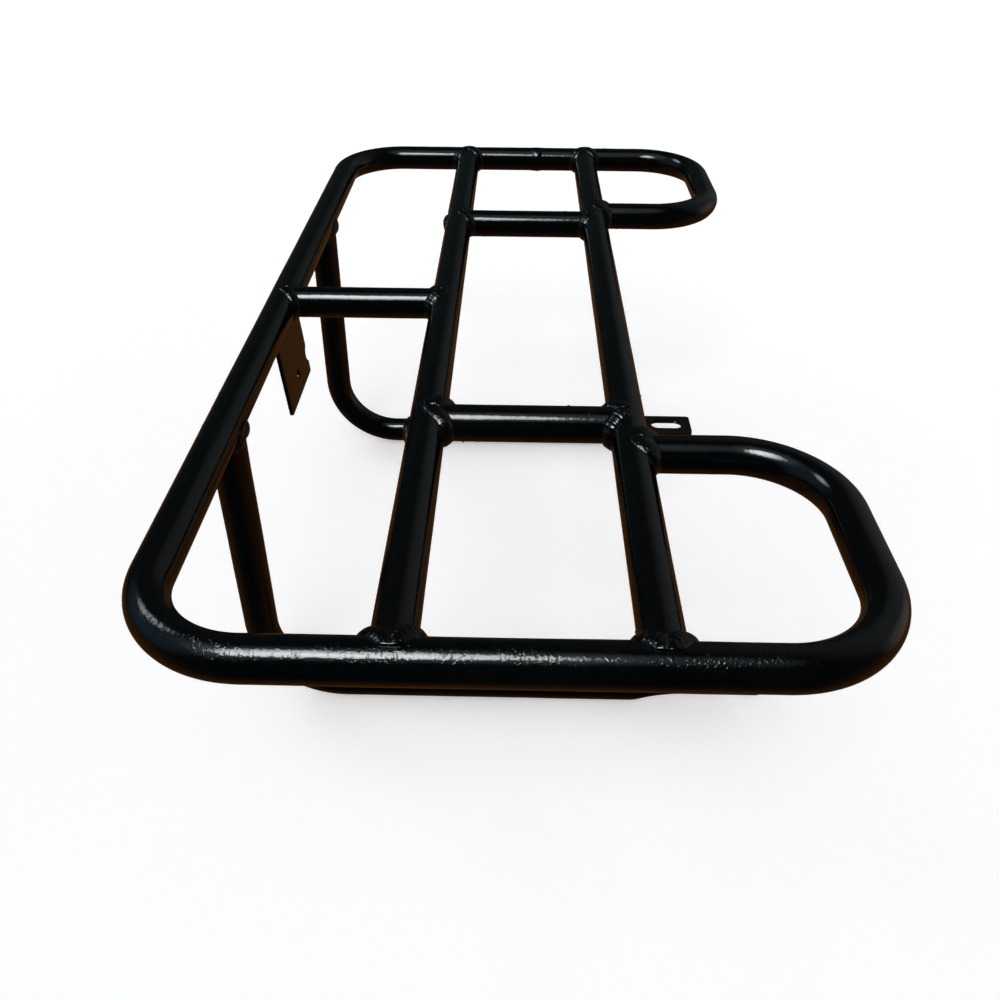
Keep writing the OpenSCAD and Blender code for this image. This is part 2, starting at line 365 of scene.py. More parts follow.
def outline_table(points):
    """Distance from the origin to a closed outline, by angle, as two rising arrays that run
    past a whole turn at both ends, ready to be looked up."""
    angle = np.unwrap(np.arctan2(points[:, 1], points[:, 0]))
    reach = np.linalg.norm(points, axis=1)
    if angle[-1] < angle[0]:
        angle, reach = angle[::-1], reach[::-1]
    return (np.concatenate([angle - 2 * math.pi, angle, angle + 2 * math.pi]),
            np.tile(reach, 3))


def even_outline(ring, count):
    """The closed outline with points added at even steps along it, its own corners kept."""
    ring = np.concatenate([ring, ring[:1]])
    run = path_length(ring)
    even = np.unique(np.concatenate([run[:-1], np.linspace(0, run[-1], count, endpoint=False)]))
    return np.stack([np.interp(even, run, ring[:, 0]), np.interp(even, run, ring[:, 1])], 1)


def stadium(length, width, count=240):
    """Points of a bar with round ends, its length along the first axis."""
    angle = np.linspace(-math.pi / 2, math.pi / 2, 49)
    half = (length - width) / 2
    cap = width / 2 * np.stack([np.cos(angle), np.sin(angle)], 1)
    return even_outline(np.concatenate([cap + [half, 0], -cap - [half, 0]]), count)


def rounded_box(low, high, corner, count=120):
    """Points of a rectangle from low to high, whose four corner radii go anticlockwise from
    the low corner."""
    sides = []
    places = [(low[0], low[1], 1, 1), (high[0], low[1], -1, 1),
              (high[0], high[1], -1, -1), (low[0], high[1], 1, -1)]
    for k, ((x, y, sx, sy), radius) in enumerate(zip(places, corner)):
        angle = math.pi + k * math.pi / 2 + np.linspace(0, math.pi / 2, 9)
        middle = np.array([x + sx * radius, y + sy * radius])
        sides.append(middle + radius * np.stack([np.cos(angle), np.sin(angle)], 1))
    return even_outline(np.concatenate(sides), count)


def pierced_plate(edges, hole, heights, hole_heights, hole_grow):
    """Rings of a flat piece with one hole. A ring is a closed outline: the first ones step
    outwards over the upper face from the hole to the edge, the next go down the edge, the
    next come back under the lower face, and the last go up the wall of the hole."""
    corners = np.arctan2(edges[0][:, 1], edges[0][:, 0])
    angle = np.unique(np.round(np.concatenate([
        np.linspace(-math.pi, math.pi, 180, endpoint=False), corners]) % (2 * math.pi), 5))
    # rays closer together than this, in radians, would make slivers
    least = 0.004
    angle = angle[np.diff(np.append(angle, angle[0] + 2 * math.pi)) > least]
    ray = np.stack([np.cos(angle), np.sin(angle)], 1)
    inner = np.interp(angle, *outline_table(hole))
    outer = [np.interp(angle, *outline_table(edge)) for edge in edges]
    lip = inner + 0.3 * MM
    rings = []
    for share in np.linspace(0, 1, 7)[1:-1]:
        rings.append(lip * (1 - share) + outer[0] * share)
    levels = [heights[0]] * len(rings)
    rings += outer
    levels += list(heights)
    for share in np.linspace(1, 0, 7)[1:-1]:
        rings.append(lip * (1 - share) + outer[-1] * share)
        levels.append(heights[-1])
    for grow, level in zip(hole_grow, hole_heights):
        rings.append(inner + grow)
        levels.append(level)
    flat = np.stack(rings)[..., None] * ray[None]
    return np.concatenate([flat, np.array(levels)[:, None, None] + 0 * flat[..., :1]], -1)


# ---- weld beads

def spatter_drops(seed, places, normals, sizes):
    """Small drops on a surface: each is a flattened ball, half sunk at its place."""
    turn = np.linspace(0, 2 * math.pi, 9, endpoint=False)[None, :]
    slope = np.linspace(-math.pi / 2, math.pi / 2, 7)[1:-1, None]
    ball = np.stack([np.cos(slope) * np.cos(turn), np.cos(slope) * np.sin(turn),
                     0.75 * np.sin(slope) + 0 * turn], -1)
    rng = np.random.default_rng(seed)
    helper = unit(rng.normal(size=normals.shape))
    side = unit(np.cross(normals, helper))
    other = np.cross(normals, side)
    axes = np.stack([side, other, normals], 1)
    drops = sizes[:, None, None, None] * np.einsum("rcp,npk->nrck", ball, axes)
    return [closed_tube(drop) for drop in places[:, None, None] + drops]


def saddle_weld(joint, branch, main, seed, size, fill, rope, drops, toe=-1.2 * MM):
    """A bead round the joint where a branch tube meets a main tube of its size. Its middle
    line is where the two round surfaces cross: radius times the cosine of the turn along the
    main tube, radius times the sine up, and the size of that cosine along the branch. The
    section is an oval whose height is the crown at the top and the throat in the corners,
    and crescent ripples and slow lumps change it along the line. Size scales the section,
    fill its height and rope its ripples, and drops is the number of drops of spatter."""
    weld = bpy.context.scene.rack_welds
    joint, branch, main = (np.asarray(v, float) for v in (joint, branch, main))
    lift = np.cross(branch, main)
    axes = np.stack([branch, main, lift])
    turn = np.linspace(0, 2 * math.pi, BEAD_STEPS, endpoint=False)
    along, rise = TUBE_R * np.cos(turn), TUBE_R * np.sin(turn)
    # the saddle's sharp crest and foot are eased over this length
    ease = 1.5 * MM
    out = np.sqrt(along ** 2 + ease ** 2)
    line = np.stack([out, along, rise], 1)
    normal_main = unit(np.stack([out, 0 * out, rise], 1))
    normal_branch = unit(np.stack([0 * out, along, rise], 1))
    normal = unit(normal_main + normal_branch)
    way = unit(np.roll(line, -2, 0) - np.roll(line, 2, 0))
    width = unit(np.cross(way, normal))
    normal = np.cross(width, way)
    run = np.linalg.norm(np.diff(line, axis=0, append=line[:1]), axis=1).cumsum()
    laps = max(1, round(run[-1] / weld.ripple))
    phase = run / run[-1] * laps
    section = np.linspace(0, 2 * math.pi, BEAD_SIDES, endpoint=False)
    c, s = np.cos(section)[None, :], np.sin(section)[None, :]
    crescent = np.cos(2 * math.pi * (phase[:, None] + RIPPLE_BOW * c ** 2))
    # lumps are read off a circle and a width, so that they meet where the bead closes
    loop = 5 * MM * np.stack([np.cos(turn), np.sin(turn)])[..., None]
    lumps = ripple_noise(seed, loop[0] + 0 * c, loop[1] + 0 * c, 2.2 * MM * c + 0 * loop[0],
                         finest=4.2 * MM)
    slow = ripple_noise(seed + 50, loop[0][:, 0], loop[1][:, 0], finest=8 * MM)[:, None]
    corner = np.abs(np.cos(turn))[:, None] ** 0.8
    half = size * weld.half_width * (0.86 + 0.14 * corner) * (1 + 0.10 * slow + 0.04 * lumps)
    tall = size * fill * (weld.crown + (weld.throat - weld.crown) * corner)
    tall = tall * (1 + 0.12 * slow + 0.07 * lumps) + RIPPLE_HEIGHT * crescent * size * rope
    local = line[:, None] + (half * c)[..., None] * width[:, None]
    local = local + (tall * s)[..., None] * normal[:, None]
    # the toe stops soon past the main tube's crest, where the welder's torch stopped
    past = np.minimum(local[..., 0] - toe, 0)
    local[..., 0] = np.maximum(local[..., 0], toe) + 0.25 * past
    shells = [closed_ring(joint + local @ axes)]
    if drops:
        rng = np.random.default_rng(seed + 900)
        far = TUBE_R + weld.half_width * size + rng.uniform(0.5, 13, drops) * MM
        spin = rng.uniform(0.05, 0.95, drops) * math.pi
        on_main = rng.random(drops)[:, None] < 0.5
        sign = np.where(rng.random(drops) < 0.5, -1.0, 1.0)
        cos, sin = np.cos(spin), np.sin(spin)
        zero = 0 * far
        place = np.where(on_main, np.stack([TUBE_R * cos, sign * far, TUBE_R * sin], 1),
                         np.stack([far, TUBE_R * cos, TUBE_R * sin], 1))
        facing = np.where(on_main, np.stack([cos, zero, sin], 1),
                          np.stack([zero, cos, sin], 1))
        sizes = rng.uniform(0.28, 0.62, drops) * MM
        shells += spatter_drops(seed, joint + place @ axes, facing @ axes, sizes)
    return shells


def bar_weld(low, high, seed):
    """A straight fillet bead inside a box: an oval section carried along X, drawn in to a
    point at both ends, with crescent ripples and slow lumps."""
    weld = bpy.context.scene.rack_welds
    middle, half = (low + high) / 2, (high - low) / 2
    count = max(30, int(2 * half[0] / MM * 5))
    t = np.linspace(-1, 1, count)[:, None]
    angle = np.linspace(0, 2 * math.pi, 32, endpoint=False)[None, :]
    run = t * half[0]
    crescent = np.cos(2 * math.pi * (run / weld.ripple + 0.3 * np.cos(angle) ** 2))
    lumps = ripple_noise(seed, run + 0 * angle, 3 * MM * np.cos(angle) + 0 * run, finest=5 * MM)
    taper = np.sqrt(1 - (np.abs(t) * 0.995) ** 14)
    size = taper * (0.86 + 0.08 * lumps + 0.06 * crescent)
    grid = np.stack([run + 0 * angle, half[1] * size * np.cos(angle),
                     half[2] * size * np.sin(angle)], -1)
    return [closed_tube(middle + grid)]


# ---- materials

def add_node(tree, kind, links=None, **settings):
    """Adds a node. Settings that name an input set its value and the others are the node's
    own; links join an input's name or number to another node's output."""
    node = tree.nodes.new(kind)
    for key, value in settings.items():
        name = key.replace("_", " ").title() if key[0].islower() else key
        if hasattr(node, key):
            setattr(node, key, value)
        elif name in node.inputs:
            node.inputs[name].default_value = value
        else:
            raise KeyError(f"{kind} has no setting or input called {key}")
    for key, output in (links or {}).items():
        tree.links.new(output, node.inputs[key])
    return node


def powder_coat(name, roughness, peel, peel_depth, grit_height, grit_everywhere):
    """Gloss polyester powder coat, sprayed dry and baked. It gives the eye a deep black with
    sharp lamps in it, broken by soft orange peel and by specks caught under the coat. Peel is
    the spacing of its dimples; grain peaks and specks are as coarse as they need to show."""
    coat = bpy.context.scene.rack_coat
    material = bpy.data.materials.new(name)
    material.use_nodes = True
    tree = material.node_tree
    tree.nodes.clear()
    place = add_node(tree, "ShaderNodeTexCoord").outputs["Object"]
    dust_patch, grit_patch, speck_gap = 28 * MM, 11 * MM, 3.6 * coat.grit
    noises = {}
    for key, spacing, detail in (("dust", dust_patch, 4.0), ("peel", peel, 1.0),
                                 ("grain", coat.grit, 2.0), ("patch", grit_patch, 2.0)):
        noises[key] = add_node(tree, "ShaderNodeTexNoise", {"Vector": place},
                               scale=1 / spacing, detail=detail).outputs["Fac"]
    speck = add_node(tree, "ShaderNodeTexVoronoi", {"Vector": place}, scale=1 / speck_gap)
    # Each source, the two levels between which it fades smoothly, and the values at them.
    # Dust dulls the coat in patches. Only the peaks of the grain stand up, and the specks are
    # low domes. Both come and go in patches.
    steps = [
        ("dusty", noises["dust"], 0.42, 0.78, 0.0, 1.0),
        ("rough", noises["dust"], 0.25, 0.75, roughness * 0.8, roughness * 1.35),
        ("grainy", noises["grain"], 0.48, 0.72, 0.0, 1.0),
        ("dome", speck.outputs["Distance"], 0.15, 0.03, 0.0, 0.9),
        ("patchy", noises["patch"], 0.34, 0.62, 0.15, 1.0),
    ]
    masks = ["patchy"]
    if not grit_everywhere:
        # the coat is gritty on the right end rail and smoother elsewhere
        along = add_node(tree, "ShaderNodeSeparateXYZ", {"Vector": place}).outputs["X"]
        steps.append(("end", along, END_X - 22 * MM, END_X - 6 * MM, 0.22, 1.0))
        masks.append("end")
    fades = {}
    for key, source, low, high, start, stop in steps:
        fades[key] = add_node(
            tree, "ShaderNodeMapRange", {"Value": source}, interpolation_type="SMOOTHSTEP",
            from_min=low, from_max=high, to_min=start, to_max=stop).outputs["Result"]
    colour = add_node(tree, "ShaderNodeMix", {"Factor": fades["dusty"]}, data_type="RGBA")
    # the colour inputs, which share their names with the inputs for numbers
    colour.inputs[6].default_value = coat.colour
    colour.inputs[7].default_value = coat.worn
    height = add_node(tree, "ShaderNodeMath", {0: fades["grainy"], 1: fades["dome"]},
                      operation="ADD").outputs[0]
    for mask in masks:
        height = add_node(tree, "ShaderNodeMath", {0: height, 1: fades[mask]},
                          operation="MULTIPLY").outputs[0]
    dimples = add_node(tree, "ShaderNodeBump", {"Height": noises["peel"]}, distance=peel_depth)
    bump = add_node(tree, "ShaderNodeBump",
                    {"Height": height, "Normal": dimples.outputs["Normal"]},
                    distance=grit_height)
    shader = add_node(tree, "ShaderNodeBsdfPrincipled", {
        "Base Color": colour.outputs[2], "Roughness": fades["rough"],
        "Normal": bump.outputs["Normal"]}, IOR=1.5)
    add_node(tree, "ShaderNodeOutputMaterial", {"Surface": shader.outputs["BSDF"]})
    return material


def coat_on(slot):
    """The coat's material for tube, plate or weld, made the first time it is asked for."""
    coat = bpy.context.scene.rack_coat
    # name, roughness, dimples' spacing and depth, grit's height, and whether it is everywhere
    recipes = {
        "tube": ("Gloss black powder coat, tube",
                 coat.gloss, coat.peel, 0.040 * MM, 0.062 * MM, False),
        "plate": ("Gloss black powder coat, flat sheet",
                  coat.gloss * 1.5, 3.4 * MM, 0.05 * MM, 0.03 * MM, True),
        "weld": ("Gloss black powder coat, weld bead",
                 coat.gloss * 1.2, 1.1 * MM, 0.08 * MM, 0.08 * MM, True),
    }
    name = recipes[slot][0]
    return bpy.data.materials.get(name) or powder_coat(*recipes[slot])


# ---- operators: pieces

class RACK_OT_outer_rail(bpy.types.Operator):
    """The one bent tube round the deck, with its two ears"""
    bl_idname = "rack.outer_rail"
    bl_label = "Outer rail"

    def execute(self, context):
        tubes = context.scene.rack_tubes
        right = [(EAR_X, FRONT_Y), (EAR_X, SIDE_Y), (END_X, SIDE_Y), (END_X, -SIDE_Y)]
        corners = right + [(-px, py) for px, py in reversed(right)]
        line = [(px, py, DECK_Z) for px, py in corners]
        points, ways, bends = bent_path(line, tubes.bend_radius, 3 * MM)
        grid = round_tube(points, ways, UP, SEEDS["rail"], tubes.wander, bends)
        grid = cope_ends(grid, points, ways, UP)
        place_piece("rail_tube", [closed_tube(grid)], "tube", "outer_rail")
        return {"FINISHED"}


class RACK_OT_straight_tubes(bpy.types.Operator):
    """The two inner tubes and the three crossbars"""
    bl_idname = "rack.straight_tubes"
    bl_label = "Inner tubes and crossbars"

    def execute(self, context):
        wander = context.scene.rack_tubes.wander
        right, left, mid = BAR_X.values()
        runs = {
            "inner_tube_back": ((-END_X, BACK_Y), (END_X, BACK_Y)),
            "inner_tube_front": ((-END_X, FRONT_Y), (END_X, FRONT_Y)),
            "crossbar_right": ((right, BACK_Y), (right, FRONT_Y)),
            "crossbar_left": ((left, BACK_Y), (left, FRONT_Y)),
            "crossbar_mid": ((mid, -SIDE_Y), (mid, BACK_Y)),
        }
        for seed, (node, ends) in enumerate(runs.items(), SEEDS["straight"]):
            line = [(px, py, DECK_Z) for px, py in ends]
            points, ways, _ = bent_path(line, TUBE_R, 2.5 * MM)
            grid = round_tube(points, ways, UP, seed, wander)
            grid = cope_ends(grid, points, ways, UP)
            place_piece(node + "_coated", [closed_tube(grid)], "tube", node)
        return {"FINISHED"}


def leg_tube(x, tubes, seed):
    """A leg's tube: down from the back rail, round the bend, along the floor, then each ring
    passes from a circle to a flat bar of the same girth whose top stays level with the
    tube's. The share of the flat bar rises smoothly over the blend."""
    thick = 2 * tubes.wall
    flat_y = SIDE_Y - tubes.tab_length
    blend_y = flat_y - tubes.tab_blend
    line = [(x, -SIDE_Y, DECK_Z), (x, -SIDE_Y, TUBE_R), (x, flat_y + 1.5 * MM, TUBE_R)]
    points, ways, bends = bent_path(line, tubes.bend_radius, 2 * MM)
    grid = round_tube(points, ways, ALONG, seed, tubes.wander, bends)
    rise = ((grid[:1] - points[0]) @ ALONG).clip(-TUBE_R, TUBE_R)
    run = path_length(points)
    near = (1 - run / (COPE_REACH * TUBE_R)).clip(0, 1)[:, None, None]
    grid = grid + near * np.sqrt(np.maximum(TUBE_R ** 2 - rise ** 2, 0))[..., None] * ways[0]
    share = ((points[:, 1] - blend_y) / (flat_y - blend_y)).clip(0, 1)[:, None, None]
    share = share * share * (3 - 2 * share)
    bar = stadium(TAB_WIDTH, thick, 720)
    start = int(np.argmax(bar[:, 0] - np.abs(bar[:, 1])))
    bar = np.roll(bar, -start, 0)
    bar = np.concatenate([bar, bar[:1]])
    table = path_length(bar)
    # a ring starts at its lowest point, which is three quarters of the way round the bar
    lowest = 0.75
    turn = ((lowest + np.linspace(0, 1, TUBE_SIDES, endpoint=False)) % 1.0) * table[-1]
    flat = np.stack([np.interp(turn, table, bar[:, 0]), 0 * turn,
                     np.interp(turn, table, bar[:, 1]) + TUBE_R - thick / 2], 1)
    flat_grid = points[:, None] + flat[None]
    return closed_tube(grid * (1 - share) + flat_grid * share)


def leg_tab(x, tubes):
    """A leg's flat end with its slot. The edge rings are rectangles that grow and shrink by
    the cosine of the edge's own round, and a fine groove runs at mid height in the cut
    faces, where the two walls of the tube were pressed together."""
    thick = 2 * tubes.wall
    slot_y = SIDE_Y - tubes.slot_edge - tubes.slot_length / 2
    z = 2 * TUBE_R - thick / 2
    hole = stadium(tubes.slot_length, tubes.slot_width)[:, ::-1]
    inner_end, free_end = SIDE_Y - tubes.tab_length - slot_y, SIDE_Y - slot_y
    groove_depth, groove_width = 0.35 * MM, 0.22
    corners = (0.2 * MM, 0.2 * MM, 2.2 * MM, 2.2 * MM)
    edges, heights = [], []
    for roll in np.linspace(math.pi / 2, -math.pi / 2, 11):
        half = TAB_WIDTH / 2 - thick / 2 * (1 - math.cos(roll))
        groove = groove_depth * math.exp(-(roll / groove_width) ** 2)
        edges.append(rounded_box((-half, inner_end), (half, free_end - groove), corners))
        heights.append(0.995 * thick / 2 * math.sin(roll))
    half = thick / 2
    # the slot's wall, from below: how much wider it is, in mm, at each share of half its height
    walls = [(0.12, -0.998), (0.0, -0.9), (0.0, -0.16), (0.3, 0.0),
             (0.0, 0.16), (0.0, 0.9), (0.12, 0.998)]
    grid = pierced_plate(edges, hole, heights, [half * h for _, h in walls],
                         [g * MM for g, _ in walls])
    return closed_ring(grid + [x, slot_y, z])


class RACK_OT_legs(bpy.types.Operator):
    """The two legs, each bent once and pressed flat at its end, with a slot"""
    bl_idname = "rack.legs"
    bl_label = "Legs"

    def execute(self, context):
        tubes = context.scene.rack_tubes
        for seed, (node, x) in enumerate(LEG_X.items(), SEEDS["legs"]):
            shells = [leg_tube(x, tubes, seed), leg_tab(x, tubes)]
            place_piece(node + "_coated", shells, "tube", node, sharp=SHARP_LEG)
        return {"FINISHED"}


class RACK_OT_plate(bpy.types.Operator):
    """The small plate that hangs from the back rail"""
    bl_idname = "rack.plate"
    bl_label = "Hanging plate"

    def execute(self, context):
        plate = context.scene.rack_plate
        centre = BAR_X["crossbar_mid"]
        up = plate.drop - plate.hole_up
        half = plate.width / 2
        # its upper edge stops this far below the rail's centre line, in the fillet bead
        top = up - 6.4 * MM
        edge = 0.3 * MM
        corners = (1.2 * MM,) * 2 + (edge,) * 2
        edges, heights = [], []
        for roll in np.linspace(math.pi / 2, -math.pi / 2, 7):
            inset = edge * (1 - math.cos(roll))
            ring = rounded_box((-half + inset, -plate.hole_up + inset), (half - inset, top),
                               corners, 400)
            middle = np.array([-half - plate.notch * 0.2, 0.0])
            away = ring - middle
            far = np.linalg.norm(away, axis=1, keepdims=True)
            bite = (far < plate.notch + inset) & (ring[:, :1] < 0)
            # a point of the left edge inside the notch goes to its rim at the same height
            rim = np.sqrt(np.maximum((plate.notch + inset) ** 2 - away[:, 1:] ** 2, 0)) + middle[0]
            ring = np.where(bite, np.concatenate([rim, ring[:, 1:]], 1), ring)
            edges.append(ring)
            flat = math.copysign(plate.thickness / 2 - edge, roll) * (abs(roll) > 0.01)
            heights.append(flat + edge * math.sin(roll))
        # the hole's wall, as the slot's is given
        wall = [(0.15, -1.0), (0.0, -0.8), (0.0, 0.8), (0.15, 1.0)]
        angle = np.linspace(0, 2 * math.pi, 96, endpoint=False)
        hole = plate.hole / 2 * np.stack([np.cos(angle), np.sin(angle)], 1)
        grid = pierced_plate(edges, hole, heights, [h * plate.thickness / 2 for _, h in wall],
                             [g * MM for g, _ in wall])
        # its own width lies along X, its height leans, and its face looks forward
        face = np.array([0.0, math.cos(plate.lean), math.sin(plate.lean)])
        down = np.array([0.0, -math.sin(plate.lean), math.cos(plate.lean)])
        anchor = np.array([centre, -SIDE_Y - plate.outset, DECK_Z])
        grid = (grid[..., :1] * ALONG + (grid[..., 1:2] - up) * down + grid[..., 2:] * face
                + anchor)
        place_piece("plate_coated", [closed_ring(grid)], "plate", "centre_plate",
                    sharp=SHARP_PLATE)
        return {"FINISHED"}


# ---- operators: welds

class RACK_OT_joint_welds(bpy.types.Operator):
    """The beads round every joint of two tubes"""
    bl_idname = "rack.joint_welds"
    bl_label = "Joint welds"

    def execute(self, context):
        weld = context.scene.rack_welds
        right, left, front, back = ALONG, -ALONG, ACROSS, -ACROSS
        big = weld.ear_factor
        right_bar, left_bar, mid_bar = BAR_X.values()
        # where it is, the branch's way, the main tube's way, and its size, fill and rope
        joints = {
            "bead_back_right": ((END_X, BACK_Y), left, front, 1.00, 0.92, 0.35),
            "bead_back_left": ((-END_X, BACK_Y), right, front, 0.95, 0.95, 0.4),
            "bead_front_right": ((END_X, FRONT_Y), left, front, 1.02, 0.90, 0.5),
            "bead_front_left": ((-END_X, FRONT_Y), right, front, 0.95, 0.95, 0.4),
            "bead_cross_right_b": ((right_bar, BACK_Y), front, right, 1.16, 0.95, 0.25),
            "bead_cross_right_f": ((right_bar, FRONT_Y), back, right, 1.04, 1.0, 1.0),
            "bead_cross_left_b": ((left_bar, BACK_Y), front, right, 0.86, 0.85, 0.3),
            "bead_cross_left_f": ((left_bar, FRONT_Y), back, right, 1.00, 0.95, 0.5),
            "bead_mid_b": ((mid_bar, -SIDE_Y), front, right, 0.84, 0.85, 0.3),
            "bead_mid_f": ((mid_bar, BACK_Y), back, right, 0.88, 0.95, 0.6),
            "bead_ear_right": ((EAR_X, FRONT_Y), front, right, big, 0.80, 0.15),
            "bead_ear_left": ((-EAR_X, FRONT_Y), front, right, big, 0.80, 0.3),
        }
        seeded = enumerate(joints.items(), SEEDS["joints"])
        for seed, (node, (spot, branch, main, *look)) in seeded:
            shells = saddle_weld((*spot, DECK_Z), branch, main, seed, *look, drops=weld.spatter)
            place_piece(node.replace("bead", "weld"), shells, "weld", node, sharp=SHARP_BEAD)
        for seed, (node, x) in enumerate(LEG_X.items(), SEEDS["leg_beads"]):
            shells = saddle_weld((x, -SIDE_Y, DECK_Z), -UP, right, seed, size=0.9, fill=1.0,
                                 rope=0.4, drops=3, toe=-0.4 * MM)
            side = node.split("_")[1]
            place_piece(f"weld_leg_{side}", shells, "weld", f"bead_leg_{side}",
                        sharp=SHARP_BEAD)
        return {"FINISHED"}


class RACK_OT_small_welds(bpy.types.Operator):
    """The plate's fillet beads, the lumps on the back inner tube and the rail's butt weld"""
    bl_idname = "rack.small_welds"
    bl_label = "Plate, flank and butt welds"

    def execute(self, context):
        nodes = ("bead_plate_out", "bead_plate_right", "bead_plate_left")
        for seed, node in enumerate(nodes, SEEDS["plate_beads"]):
            low, high, _ = box_of(node)
            place_piece(node.replace("bead", "weld"), bar_weld(low, high, seed), "weld", node,
                        sharp=SHARP_BEAD)
        for seed, side in enumerate(("right", "left"), SEEDS["flank_beads"]):
            self.flank(side, seed)
        self.butt()
        return {"FINISHED"}

    def flank(self, side, seed):
        """A crescent of weld low on the tube's back flank: an oval dome drawn in polar steps
        about the tube's own axis, highest in its middle, with two ripples across it."""
        low, high, middle = box_of(f"bead_flank_{side}")
        turn = np.linspace(0, 2 * math.pi, 64, endpoint=False)[None, :]
        slope = np.linspace(-math.pi / 2, math.pi / 2, 30)[1:-1, None]
        u, v = np.cos(slope) * np.cos(turn), np.cos(slope) * np.sin(turn)
        proud = np.abs(low[1] - BACK_Y) - TUBE_R
        ripple = 0.10 * np.cos(9 * u + 3 * v ** 2) + 0.06 * ripple_noise(seed, u, v, finest=0.9)
        out = TUBE_R + proud * (1 + ripple) * np.sin(slope)
        # its underside sinks a little way into the tube
        sunk = 0.8 * MM
        out = np.where(slope < 0, TUBE_R - sunk * np.abs(np.sin(slope)), out)
        middle_roll, half_roll = math.radians(-24), math.radians(46)
        roll = middle_roll + v * half_roll
        x = middle[0] + u * (high[0] - low[0]) / 2 * 0.98
        grid = np.stack([x, BACK_Y - out * np.cos(roll), DECK_Z + out * np.sin(roll)], -1)
        place_piece(f"weld_flank_{side}", [closed_tube(grid)], "weld", f"bead_flank_{side}",
                    sharp=SHARP_BEAD)

    def butt(self):
        """The ring where the rail's tube was joined end to end: a raised cosine along the
        tube, lumpy round it, and ground away on the rail's outer side."""
        low, high, middle = box_of("bead_rail_joint")
        run = np.linspace(-1, 1, 25)[:, None]
        turn = np.linspace(0, 2 * math.pi, 96, endpoint=False)[None, :]
        lumps = ripple_noise(SEEDS["rail_joint"], 3 * np.cos(turn) + 0 * run,
                             3 * np.sin(turn) + 0 * run, 2 * run + 0 * turn, finest=1.3)
        inner_side = ((1 + np.cos(turn)) / 2) ** 0.7
        proud, sunk = 0.55 * MM, 0.25 * MM
        tall = proud * inner_side * (1 + 0.35 * lumps) * np.cos(run * math.pi / 2) ** 1.2
        out = TUBE_R - sunk + sunk * (np.abs(run) < 0.99) + tall
        y = middle[1] + run * (high[1] - low[1]) / 2
        grid = np.stack([-END_X + out * np.cos(turn), y + 0 * turn,
                         DECK_Z + out * np.sin(turn)], -1)
        place_piece("weld_rail_joint", [closed_tube(grid)], "weld", "bead_rail_joint",
                    sharp=SHARP_BEAD)


# ---- operator: stage

# Where the daylight comes from, and how wide it is in the sky
SUN_FROM, SUN_WIDTH = (0.60, -0.14, 0.82), math.radians(22)
# Where the window hangs, what it faces, its width and height, its tint, and how far to each
# side its blind lets light through
WINDOW_PLACE, WINDOW_TARGET = (0.60, -0.27, 1.30), (0.14, -0.05, DECK_Z)
WINDOW_SIZE, WINDOW_TINT = (0.76, 0.68), (0.94, 0.99, 1)
WINDOW_BLIND = math.radians(25)
# Light of the room: the azimuth and elevation of a patch's middle, the angles from it of full
# and of no light, in degrees, and the colour
ROOM_PATCHES = (
    (-35, 68, 14, 36, (0.42, 0.50, 0.54)),
    (-122, 42, 3, 11, (3.6, 4.0, 4.2)),
    (-90, 35, 8, 46, (0.11, 0.18, 0.24)),
    (105, 3, 3, 25, (0.26, 0.19, 0.13)),
    (120, 25, 12, 52, (0.12, 0.13, 0.14)),
    (180, 22, 12, 60, (0.014, 0.020, 0.020)),
)
# Where the camera stands and its lens in mm on a 36 mm frame, the way it looks, its right and
# its top, and its turn about the way it looks
CAMERA_PLACE, CAMERA_LENS = (0.4701, -0.0008, 0.3754), 34.81
CAMERA_FORWARD = np.array([-0.80985, -0.014136, -0.58647])
CAMERA_RIGHT = np.array([-0.017452, 0.99985, 0.0])
CAMERA_ABOVE = np.array([-0.58638, -0.010235, 0.80997])
CAMERA_ROLL = math.radians(0.344)


def window_lamp(share, radiance):
    """A flat oval lamp that only the gloss sees, a share of the window's size, with a blind
    that keeps its light near its target. Its power is its brightness times pi times its area,
    which is a quarter pi times its width and height, times the share that the blind lets
    through: one less the blind's half angle over that angle's tangent."""
    width, height = (side * share for side in WINDOW_SIZE)
    lamp = bpy.data.lights.new(f"window {share}", "AREA")
    lamp.shape, lamp.size, lamp.size_y = "ELLIPSE", width, height
    lamp.spread = 2 * WINDOW_BLIND
    passed = 1 - WINDOW_BLIND / math.tan(WINDOW_BLIND)
    lamp.energy = radiance * passed * math.pi ** 2 / 4 * width * height
    lamp.color = WINDOW_TINT
    thing = bpy.data.objects.new(lamp.name, lamp)
    thing.location = WINDOW_PLACE
    away = Vector(WINDOW_PLACE) - Vector(WINDOW_TARGET)
    thing.rotation_euler = away.to_track_quat("Z", "Y").to_euler()
    thing.visible_diffuse = False
    thing.visible_camera = False
    bpy.context.scene.collection.objects.link(thing)


